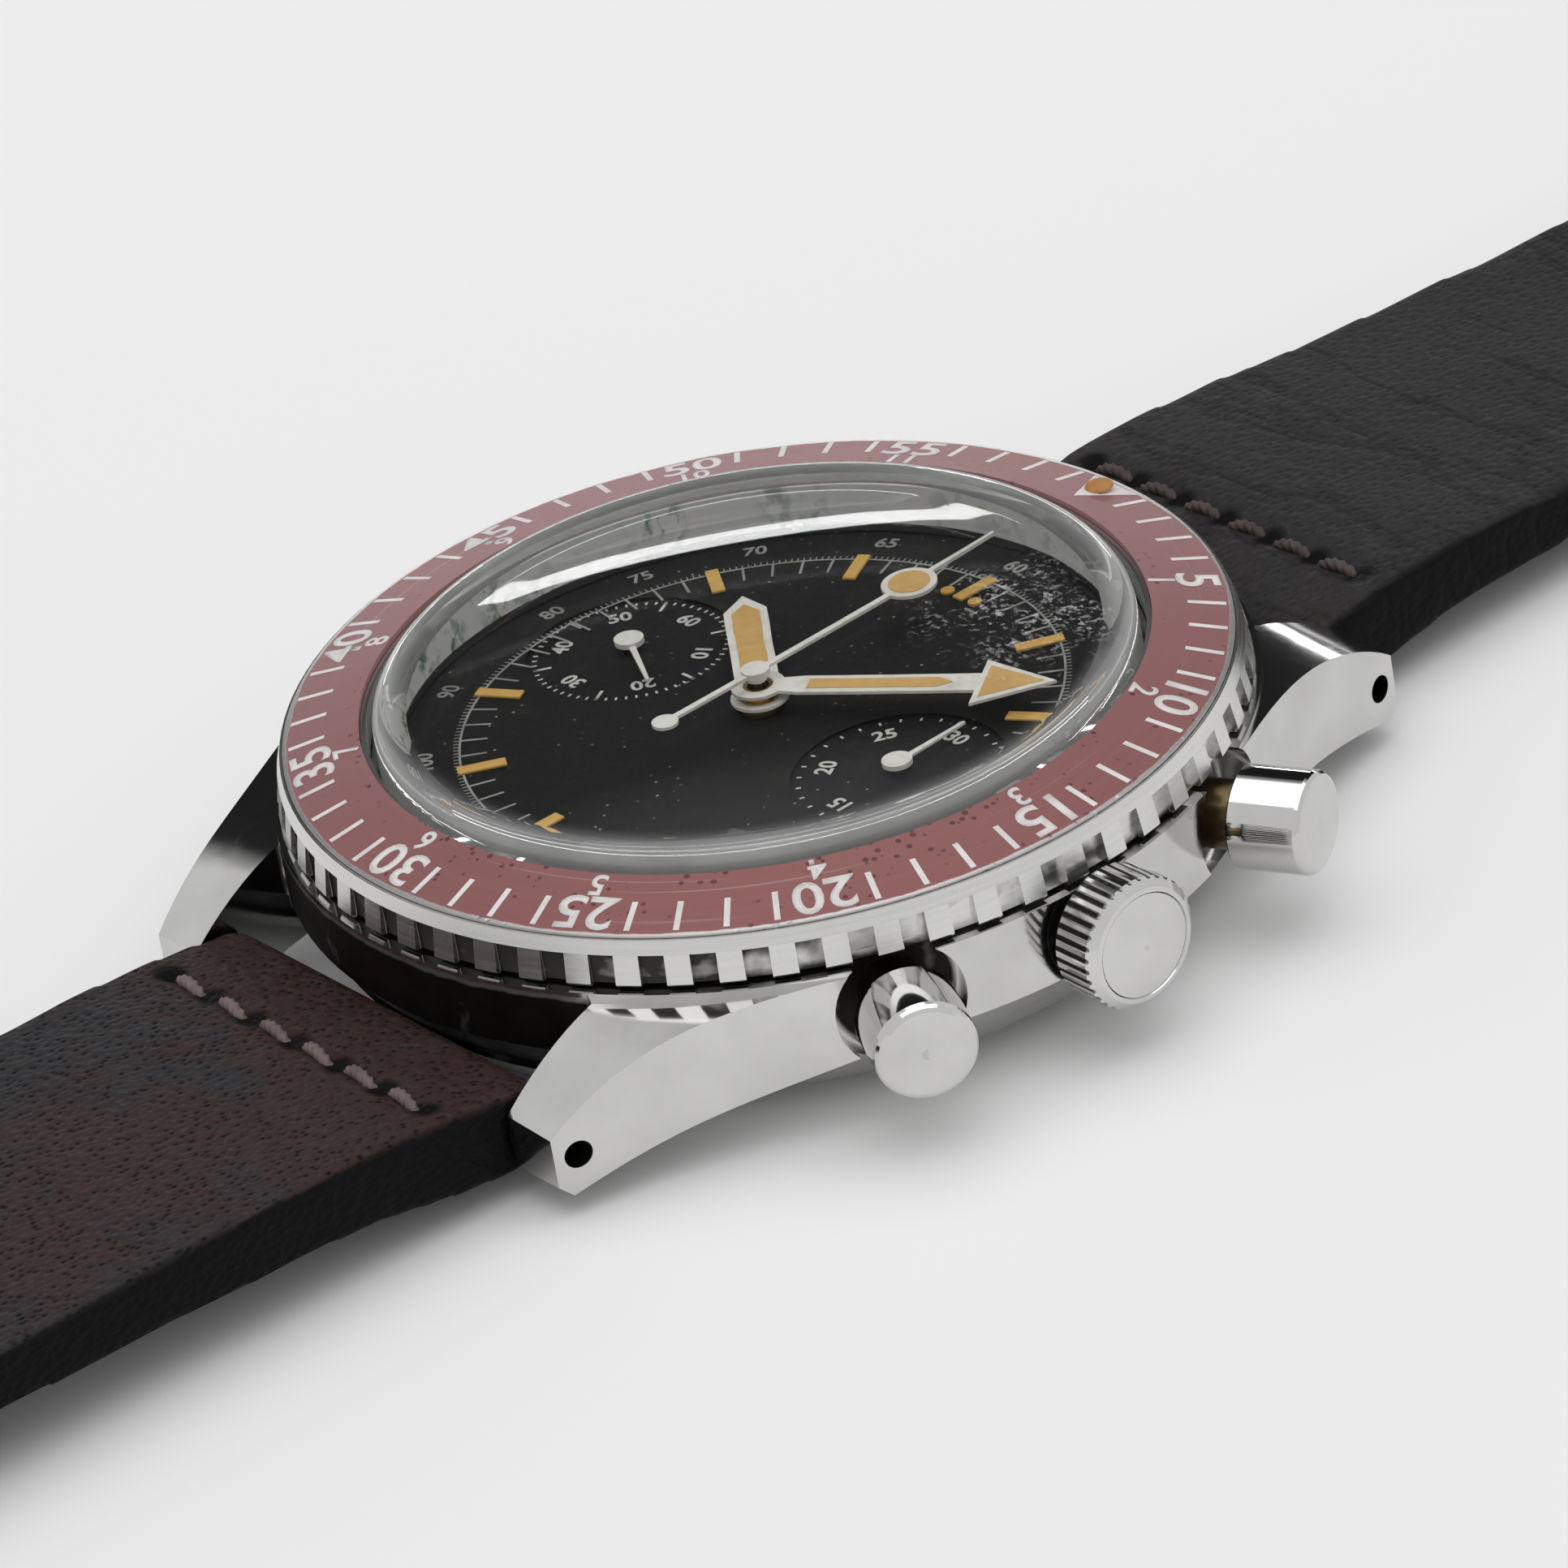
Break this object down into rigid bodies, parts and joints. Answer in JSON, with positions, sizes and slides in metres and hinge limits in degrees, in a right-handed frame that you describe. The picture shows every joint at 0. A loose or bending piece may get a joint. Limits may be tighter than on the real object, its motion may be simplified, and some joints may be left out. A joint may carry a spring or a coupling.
{
  "type": "chronograph wristwatch",
  "caption": "Steel chronograph wristwatch with a turning scale bezel, domed crystal, two pushers, a hand-wound movement and a two-piece leather strap laid open.",
  "frame": {"origin": "centre of the flat outer face of the case back", "axes": "+Z runs out through the dial along the hand axis, +Y points to 12 o'clock along the strap, +X to the crown at 3 o'clock"},
  "size_m": [0.0428, 0.2455, 0.0114],
  "materials": {
    "polished_steel": "polished stainless steel with fine wear",
    "bezel_steel": "stainless steel brushed round its edge",
    "insert": "anodised burgundy, faded and scratched",
    "lume": "aged luminous paint",
    "plain_steel": "plain ground steel",
    "crystal": "clear acrylic with fine scratches",
    "dial": "black lacquer with pale print",
    "hands": "off-white enamel with amber luminous fill",
    "gilt_brass": "gilt brass",
    "rubber": "black seal",
    "leather": "dark pebbled leather, worn"
  },
  "bodies": {
    "case": {"case_middle": "polished_steel", "case_back": "polished_steel", "case_back_gasket": "rubber", "bezel_spring": "plain_steel", "crystal": "crystal", "tension_ring": "polished_steel", "crown_tube": "plain_steel", "pusher_tubes": "gilt_brass", "pusher_springs": "plain_steel", "dial": "dial", "main_plate": "gilt_brass", "movement_ring": "plain_steel", "barrel_bridge": "gilt_brass", "train_bridge": "gilt_brass", "balance_cock": "gilt_brass", "chronograph_bridge": "plain_steel", "bridge_screws": "plain_steel", "mainspring": "plain_steel", "click": "plain_steel", "hairspring": "plain_steel", "spring_bar_12": "plain_steel", "spring_bar_6": "plain_steel"},
    "bezel": {"bezel_ring": "bezel_steel", "bezel_insert": "insert", "bezel_pip": "lume"},
    "crown_slide": {"crown_gasket": "rubber"},
    "crown": {"crown": "polished_steel", "winding_stem": "plain_steel"},
    "start_pusher": {"start_pusher": "polished_steel"},
    "reset_pusher": {"reset_pusher": "polished_steel"},
    "operating_lever": {"operating_lever": "plain_steel"},
    "reset_hammer": {"reset_hammer": "plain_steel"},
    "column_wheel": {"column_wheel": "plain_steel"},
    "minute_work": {"minute_hand": "hands", "cannon_pinion": "gilt_brass"},
    "hour_work": {"hour_hand": "hands", "hour_wheel": "gilt_brass"},
    "minute_wheel": {"minute_wheel": "gilt_brass"},
    "sweep": {"chronograph_hand": "hands", "chronograph_wheel": "gilt_brass"},
    "recorder": {"minute_counter_hand": "hands", "minute_recorder_wheel": "gilt_brass"},
    "small_seconds": {"fourth_wheel": "gilt_brass", "small_seconds_hand": "hands"},
    "third_wheel": {"third_wheel": "gilt_brass"},
    "centre_wheel": {"centre_wheel": "gilt_brass"},
    "barrel": {"barrel": "gilt_brass"},
    "escape_wheel": {"escape_wheel": "plain_steel"},
    "ratchet": {"ratchet_wheel": "plain_steel"},
    "pallet_fork": {"pallet_fork": "plain_steel"},
    "balance": {"balance_wheel": "gilt_brass"},
    "pin_12": {"spring_bar_pin_12": "plain_steel"},
    "pin_6": {"spring_bar_pin_6": "plain_steel"},
    "strap_12": {"strap_12": "leather", "fixed_keeper": "leather", "buckle_bar": "polished_steel"},
    "strap_6": {"strap_6": "leather"},
    "free_keeper": {"free_keeper": "leather"},
    "buckle_frame": {"buckle_frame": "polished_steel"},
    "buckle_tongue": {"buckle_tongue": "polished_steel"}
  },
  "joints": [
    {"name": "bezel_turn", "type": "hinge", "parent": "case", "child": "bezel", "pos_m": [0, 0, 0.008], "axis": [0, 0, 1], "continuous": true},
    {"name": "crown_pull", "type": "slide", "parent": "case", "child": "crown_slide", "axis": [1, 0, 0], "range_m": [0, 0.0009]},
    {"name": "crown_turn", "type": "hinge", "parent": "crown_slide", "child": "crown", "pos_m": [0.0225, 0, 0.0049], "axis": [1, 0, 0], "continuous": true},
    {"name": "start_press", "type": "slide", "parent": "case", "child": "start_pusher", "axis": [-0.9026, -0.4305, 0], "range_m": [0, 0.0008], "stiffness_N_per_m": 2000, "springref_m": -0.0004},
    {"name": "reset_press", "type": "slide", "parent": "case", "child": "reset_pusher", "axis": [-0.9026, 0.4305, 0], "range_m": [0, 0.0008], "stiffness_N_per_m": 2000, "springref_m": -0.0004},
    {"name": "operating_lever_swing", "type": "hinge", "parent": "case", "child": "operating_lever", "pos_m": [0.0122, 0.0016, 0.0016], "axis": [0, 0, 1], "range_deg": [0, 10.74]},
    {"name": "reset_hammer_swing", "type": "hinge", "parent": "case", "child": "reset_hammer", "pos_m": [0.0122, -0.0016, 0.0016], "axis": [0, 0, -1], "range_deg": [0, 10.74]},
    {"name": "column_wheel_turn", "type": "hinge", "parent": "case", "child": "column_wheel", "pos_m": [0.0079, 0.0074, 0.002], "axis": [0, 0, 1], "continuous": true},
    {"name": "minute_hand_turn", "type": "hinge", "parent": "case", "child": "minute_work", "pos_m": [0, 0, 0.0079], "axis": [0, 0, -1], "continuous": true},
    {"name": "hour_hand_turn", "type": "hinge", "parent": "case", "child": "hour_work", "pos_m": [0, 0, 0.0074], "axis": [0, 0, -1], "continuous": true},
    {"name": "minute_wheel_turn", "type": "hinge", "parent": "case", "child": "minute_wheel", "pos_m": [0.0015, -0.0026, 0.0059], "axis": [0, 0, -1], "continuous": true},
    {"name": "sweep_hand_turn", "type": "hinge", "parent": "case", "child": "sweep", "pos_m": [0, 0, 0.0086], "axis": [0, 0, -1], "continuous": true},
    {"name": "minute_counter_turn", "type": "hinge", "parent": "case", "child": "recorder", "pos_m": [0.0085, 0, 0.0072], "axis": [0, 0, -1], "continuous": true},
    {"name": "small_seconds_turn", "type": "hinge", "parent": "case", "child": "small_seconds", "pos_m": [-0.0085, 0, 0.0072], "axis": [0, 0, -1], "continuous": true},
    {"name": "third_wheel_turn", "type": "hinge", "parent": "case", "child": "third_wheel", "pos_m": [-0.00444, 0.00308, 0.0034], "axis": [0, 0, -1], "continuous": true},
    {"name": "centre_wheel_turn", "type": "hinge", "parent": "case", "child": "centre_wheel", "pos_m": [0, 0, 0.0031], "axis": [0, 0, -1], "continuous": true},
    {"name": "barrel_turn", "type": "hinge", "parent": "case", "child": "barrel", "pos_m": [0.00288, 0.00499, 0.0042], "axis": [0, 0, -1], "continuous": true},
    {"name": "escape_wheel_turn", "type": "hinge", "parent": "case", "child": "escape_wheel", "pos_m": [-0.00916, -0.00372, 0.0037], "axis": [0, 0, -1], "continuous": true},
    {"name": "ratchet_turn", "type": "hinge", "parent": "case", "child": "ratchet", "pos_m": [0.00288, 0.00499, 0.002], "axis": [0, 0, -1], "continuous": true},
    {"name": "pallet_swing", "type": "hinge", "parent": "case", "child": "pallet_fork", "pos_m": [-0.00765, -0.00587, 0.0037], "axis": [0, 0, 1], "range_deg": [-5, 5]},
    {"name": "balance_swing", "type": "hinge", "parent": "case", "child": "balance", "pos_m": [-0.004, -0.009, 0.0034], "axis": [0, 0, 1], "range_deg": [-270, 270]},
    {"name": "pin_12_retract", "type": "slide", "parent": "case", "child": "pin_12", "axis": [-1, 0, 0], "range_m": [0, 0.0024], "stiffness_N_per_m": 1000, "springref_m": -0.001},
    {"name": "pin_6_retract", "type": "slide", "parent": "case", "child": "pin_6", "axis": [-1, 0, 0], "range_m": [0, 0.0024], "stiffness_N_per_m": 1000, "springref_m": -0.001},
    {"name": "strap_12_swing", "type": "hinge", "parent": "case", "child": "strap_12", "pos_m": [0, 0.0211, 0.0027], "axis": [1, 0, 0], "range_deg": [-95, 50]},
    {"name": "strap_6_swing", "type": "hinge", "parent": "case", "child": "strap_6", "pos_m": [0, -0.0211, 0.0027], "axis": [-1, 0, 0], "range_deg": [-95, 50]},
    {"name": "free_keeper_slide", "type": "slide", "parent": "strap_12", "child": "free_keeper", "axis": [0, -1, 0], "range_m": [-0.003, 0.012]},
    {"name": "buckle_swing", "type": "hinge", "parent": "strap_12", "child": "buckle_frame", "pos_m": [0, 0.095, 0.00215], "axis": [1, 0, 0], "range_deg": [-45, 50]},
    {"name": "tongue_swing", "type": "hinge", "parent": "buckle_frame", "child": "buckle_tongue", "pos_m": [0, 0.095, 0.00215], "axis": [1, 0, 0], "range_deg": [0, 60]}
  ],
  "couplings": [
    {"joint": "operating_lever_swing", "follows": "start_press", "rad_per_m": 212.56},
    {"joint": "reset_hammer_swing", "follows": "reset_press", "rad_per_m": 212.56},
    {"joint": "hour_hand_turn", "follows": "minute_hand_turn", "ratio": 0.083333},
    {"joint": "minute_wheel_turn", "follows": "minute_hand_turn", "ratio": -0.33333},
    {"joint": "minute_counter_turn", "follows": "sweep_hand_turn", "ratio": 0.033333},
    {"joint": "third_wheel_turn", "follows": "small_seconds_turn", "ratio": -0.13333},
    {"joint": "centre_wheel_turn", "follows": "small_seconds_turn", "ratio": 0.016667},
    {"joint": "barrel_turn", "follows": "small_seconds_turn", "ratio": -0.0020833},
    {"joint": "escape_wheel_turn", "follows": "small_seconds_turn", "ratio": -8},
    {"joint": "ratchet_turn", "follows": "crown_turn", "ratio": 0.4}
  ]
}
